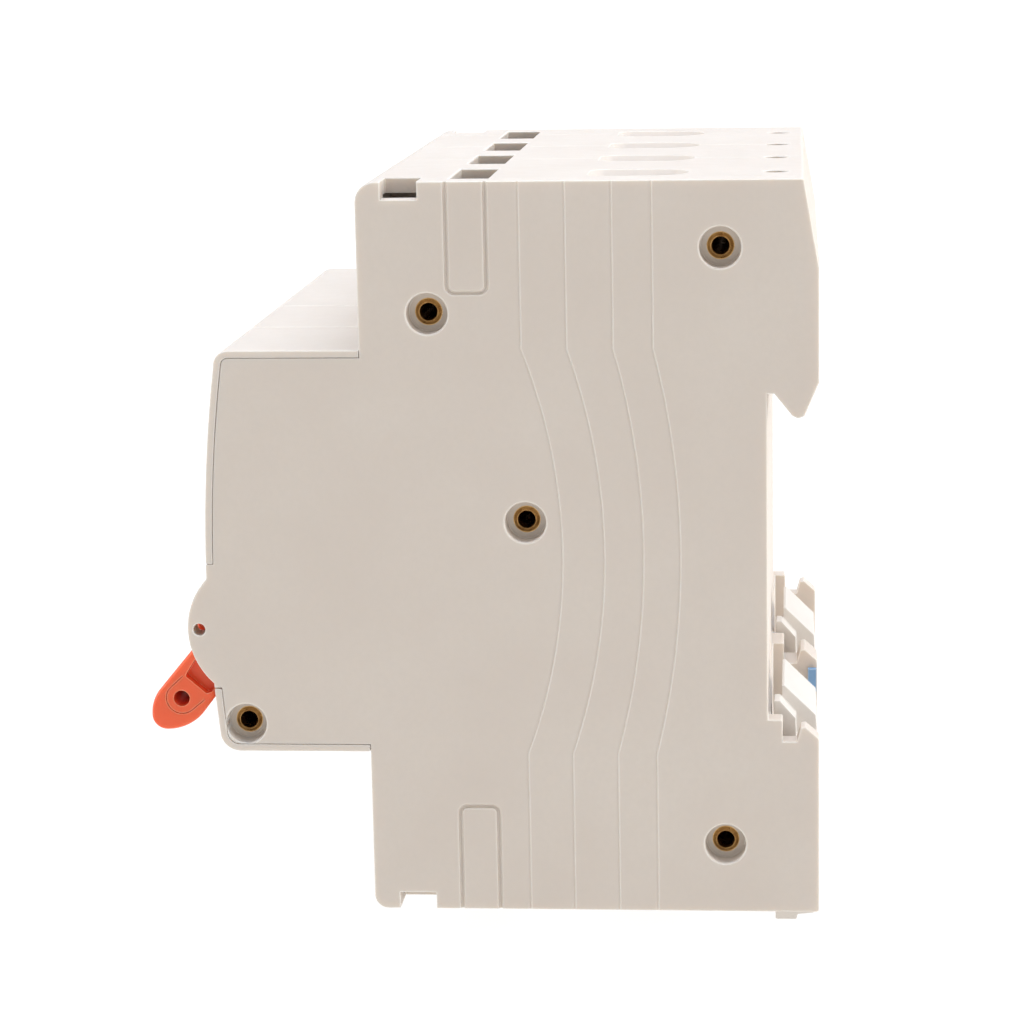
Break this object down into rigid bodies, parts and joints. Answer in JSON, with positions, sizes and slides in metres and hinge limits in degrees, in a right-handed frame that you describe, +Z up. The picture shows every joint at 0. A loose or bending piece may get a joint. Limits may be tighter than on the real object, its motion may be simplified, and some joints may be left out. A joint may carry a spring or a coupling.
{
  "type": "residual current device",
  "caption": "Rail-mounted residual current device with an orange toggle, a test button, rail clips and clamp terminals above and below.",
  "frame": {"origin": "middle of the rail seat: on the flat face that touches the rail, half-way across the width, on the rail centre line", "axes": "+Z up, the front with the toggle faces -Y, +X to the side next to the toggle"},
  "size_m": [0.072, 0.0749, 0.0848],
  "materials": {
    "housing_plastic": "light grey moulded polyamide, fine spark-eroded grain",
    "cover_plastic": "light grey moulded plastic, slightly smoother than the casings",
    "brass": "drawn brass, rolled ends",
    "toggle_plastic": "orange-red moulded plastic, soft gloss",
    "clip_plastic": "off-white moulded plastic",
    "blue_plastic": "blue moulded plastic",
    "button_plastic": "mid grey moulded plastic",
    "window_plastic": "clear plastic window",
    "flag_plastic": "green moulded plastic",
    "dark_plastic": "black thermoset",
    "relay_plastic": "dark grey relay can",
    "copper": null,
    "zinc_plated_steel": "zinc-plated pressed steel",
    "core_coating": "epoxy-coated ring core",
    "winding_lacquer": "lacquered copper winding",
    "resistor_ceramic": "coated film resistor",
    "steel": "bright steel"
  },
  "bodies": {
    "housing": {"clip_spring_left": "steel", "clip_spring_right": "steel", "front_cover": "cover_plastic", "indicator_window": "window_plastic", "latch_pin": "steel", "left_casing": "housing_plastic", "load_conductor_1": "copper", "load_conductor_2": "copper", "load_conductor_3": "copper", "load_conductor_4": "copper", "middle_casing_left": "housing_plastic", "middle_casing_right": "housing_plastic", "rear_tab": "blue_plastic", "right_casing": "housing_plastic", "right_cover": "housing_plastic", "rivet_front_bottom": "brass", "rivet_front_top": "brass", "rivet_middle": "brass", "rivet_rear_bottom": "brass", "rivet_rear_top": "brass", "supply_conductor_1": "copper", "supply_conductor_2": "copper", "supply_conductor_3": "copper", "supply_conductor_4": "copper", "test_contact": "steel", "test_resistor": "resistor_ceramic", "toggle_pin": "steel", "toggle_spring": "steel", "toroid_core": "core_coating", "toroid_winding": "winding_lacquer", "trip_relay": "relay_plastic"},
    "toggle": {"toggle": "toggle_plastic"},
    "link": {"link": "steel"},
    "carrier": {"contact_carrier": "dark_plastic", "moving_contact_1": "copper", "moving_contact_2": "copper", "moving_contact_3": "copper", "moving_contact_4": "copper"},
    "flag": {"indicator_flag": "flag_plastic"},
    "button": {"test_button": "button_plastic"},
    "clip_right": {"din_clip_right": "clip_plastic"},
    "clip_left": {"din_clip_left": "clip_plastic"},
    "plunger": {"trip_plunger": "steel"},
    "latch": {"latch": "dark_plastic"},
    "screw_top_1": {"terminal_screw_top_1": "steel"},
    "cage_top_1": {"terminal_cage_top_1": "zinc_plated_steel"},
    "screw_top_2": {"terminal_screw_top_2": "steel"},
    "cage_top_2": {"terminal_cage_top_2": "zinc_plated_steel"},
    "screw_top_3": {"terminal_screw_top_3": "steel"},
    "cage_top_3": {"terminal_cage_top_3": "zinc_plated_steel"},
    "screw_top_4": {"terminal_screw_top_4": "steel"},
    "cage_top_4": {"terminal_cage_top_4": "zinc_plated_steel"},
    "screw_bottom_1": {"terminal_screw_bottom_1": "steel"},
    "cage_bottom_1": {"terminal_cage_bottom_1": "zinc_plated_steel"},
    "screw_bottom_2": {"terminal_screw_bottom_2": "steel"},
    "cage_bottom_2": {"terminal_cage_bottom_2": "zinc_plated_steel"},
    "screw_bottom_3": {"terminal_screw_bottom_3": "steel"},
    "cage_bottom_3": {"terminal_cage_bottom_3": "zinc_plated_steel"},
    "screw_bottom_4": {"terminal_screw_bottom_4": "steel"},
    "cage_bottom_4": {"terminal_cage_bottom_4": "zinc_plated_steel"}
  },
  "joints": [
    {"name": "toggle_pivot", "type": "hinge", "parent": "housing", "child": "toggle", "pos_m": [0.0267, -0.0558, -0.00863], "axis": [-1, 0, 0], "range_deg": [0, 68]},
    {"name": "link_pivot", "type": "hinge", "parent": "toggle", "child": "link", "pos_m": [0.0231, -0.05339, -0.00369], "axis": [1, 0, 0], "range_deg": [0, 98]},
    {"name": "carrier_pivot", "type": "hinge", "parent": "housing", "child": "carrier", "pos_m": [0, -0.0425, 0.006], "axis": [1, 0, 0], "range_deg": [0, 18]},
    {"name": "flag_pivot", "type": "hinge", "parent": "housing", "child": "flag", "pos_m": [0.009, -0.0564, 0.006], "axis": [-1, 0, 0], "range_deg": [0, 92]},
    {"name": "test_press", "type": "slide", "parent": "housing", "child": "button", "axis": [0, 1, 0], "range_m": [0, 0.0015], "stiffness_N_per_m": 200, "springref_m": -0.0005},
    {"name": "clip_right_slide", "type": "slide", "parent": "housing", "child": "clip_right", "axis": [0, 0, -1], "range_m": [0, 0.0035], "stiffness_N_per_m": 800, "springref_m": -0.001, "deforming": ["clip_spring_right"]},
    {"name": "clip_left_slide", "type": "slide", "parent": "housing", "child": "clip_left", "axis": [0, 0, -1], "range_m": [0, 0.0035], "stiffness_N_per_m": 800, "springref_m": -0.001, "deforming": ["clip_spring_left"]},
    {"name": "plunger_slide", "type": "slide", "parent": "housing", "child": "plunger", "axis": [0, -1, 0], "range_m": [0, 0.0015], "stiffness_N_per_m": 150, "springref_m": -0.0003},
    {"name": "latch_pivot", "type": "hinge", "parent": "housing", "child": "latch", "pos_m": [0.029, -0.037, -0.017], "axis": [1, 0, 0], "range_deg": [0, 19.5]},
    {"name": "screw_top_1_turn", "type": "hinge", "parent": "housing", "child": "screw_top_1", "pos_m": [0.027, -0.0416, 0.0313], "axis": [0, 1, 0], "range_deg": [0, 2884]},
    {"name": "cage_top_1_slide", "type": "slide", "parent": "housing", "child": "cage_top_1", "axis": [0, -1, 0], "range_m": [0, 0.0064]},
    {"name": "screw_top_2_turn", "type": "hinge", "parent": "housing", "child": "screw_top_2", "pos_m": [0.009, -0.0416, 0.0313], "axis": [0, 1, 0], "range_deg": [0, 2884]},
    {"name": "cage_top_2_slide", "type": "slide", "parent": "housing", "child": "cage_top_2", "axis": [0, -1, 0], "range_m": [0, 0.0064]},
    {"name": "screw_top_3_turn", "type": "hinge", "parent": "housing", "child": "screw_top_3", "pos_m": [-0.009, -0.0416, 0.0313], "axis": [0, 1, 0], "range_deg": [0, 2884]},
    {"name": "cage_top_3_slide", "type": "slide", "parent": "housing", "child": "cage_top_3", "axis": [0, -1, 0], "range_m": [0, 0.0064]},
    {"name": "screw_top_4_turn", "type": "hinge", "parent": "housing", "child": "screw_top_4", "pos_m": [-0.027, -0.0416, 0.0313], "axis": [0, 1, 0], "range_deg": [0, 2884]},
    {"name": "cage_top_4_slide", "type": "slide", "parent": "housing", "child": "cage_top_4", "axis": [0, -1, 0], "range_m": [0, 0.0064]},
    {"name": "screw_bottom_1_turn", "type": "hinge", "parent": "housing", "child": "screw_bottom_1", "pos_m": [0.027, -0.0416, -0.0313], "axis": [0, 1, 0], "range_deg": [0, 2884]},
    {"name": "cage_bottom_1_slide", "type": "slide", "parent": "housing", "child": "cage_bottom_1", "axis": [0, -1, 0], "range_m": [0, 0.0064]},
    {"name": "screw_bottom_2_turn", "type": "hinge", "parent": "housing", "child": "screw_bottom_2", "pos_m": [0.009, -0.0416, -0.0313], "axis": [0, 1, 0], "range_deg": [0, 2884]},
    {"name": "cage_bottom_2_slide", "type": "slide", "parent": "housing", "child": "cage_bottom_2", "axis": [0, -1, 0], "range_m": [0, 0.0064]},
    {"name": "screw_bottom_3_turn", "type": "hinge", "parent": "housing", "child": "screw_bottom_3", "pos_m": [-0.009, -0.0416, -0.0313], "axis": [0, 1, 0], "range_deg": [0, 2884]},
    {"name": "cage_bottom_3_slide", "type": "slide", "parent": "housing", "child": "cage_bottom_3", "axis": [0, -1, 0], "range_m": [0, 0.0064]},
    {"name": "screw_bottom_4_turn", "type": "hinge", "parent": "housing", "child": "screw_bottom_4", "pos_m": [-0.027, -0.0416, -0.0313], "axis": [0, 1, 0], "range_deg": [0, 2884]},
    {"name": "cage_bottom_4_slide", "type": "slide", "parent": "housing", "child": "cage_bottom_4", "axis": [0, -1, 0], "range_m": [0, 0.0064]}
  ],
  "couplings": [
    {"joint": "link_pivot", "follows": "toggle_pivot", "ratio": 1.4265},
    {"joint": "carrier_pivot", "follows": "toggle_pivot", "ratio": 0.25882},
    {"joint": "flag_pivot", "follows": "toggle_pivot", "ratio": 1.3235},
    {"joint": "latch_pivot", "follows": "plunger_slide", "rad_per_m": 221.07},
    {"joint": "screw_top_1_turn", "follows": "cage_top_1_slide", "rad_per_m": 7854},
    {"joint": "screw_top_2_turn", "follows": "cage_top_2_slide", "rad_per_m": 7854},
    {"joint": "screw_top_3_turn", "follows": "cage_top_3_slide", "rad_per_m": 7854},
    {"joint": "screw_top_4_turn", "follows": "cage_top_4_slide", "rad_per_m": 7854},
    {"joint": "screw_bottom_1_turn", "follows": "cage_bottom_1_slide", "rad_per_m": 7854},
    {"joint": "screw_bottom_2_turn", "follows": "cage_bottom_2_slide", "rad_per_m": 7854},
    {"joint": "screw_bottom_3_turn", "follows": "cage_bottom_3_slide", "rad_per_m": 7854},
    {"joint": "screw_bottom_4_turn", "follows": "cage_bottom_4_slide", "rad_per_m": 7854}
  ]
}
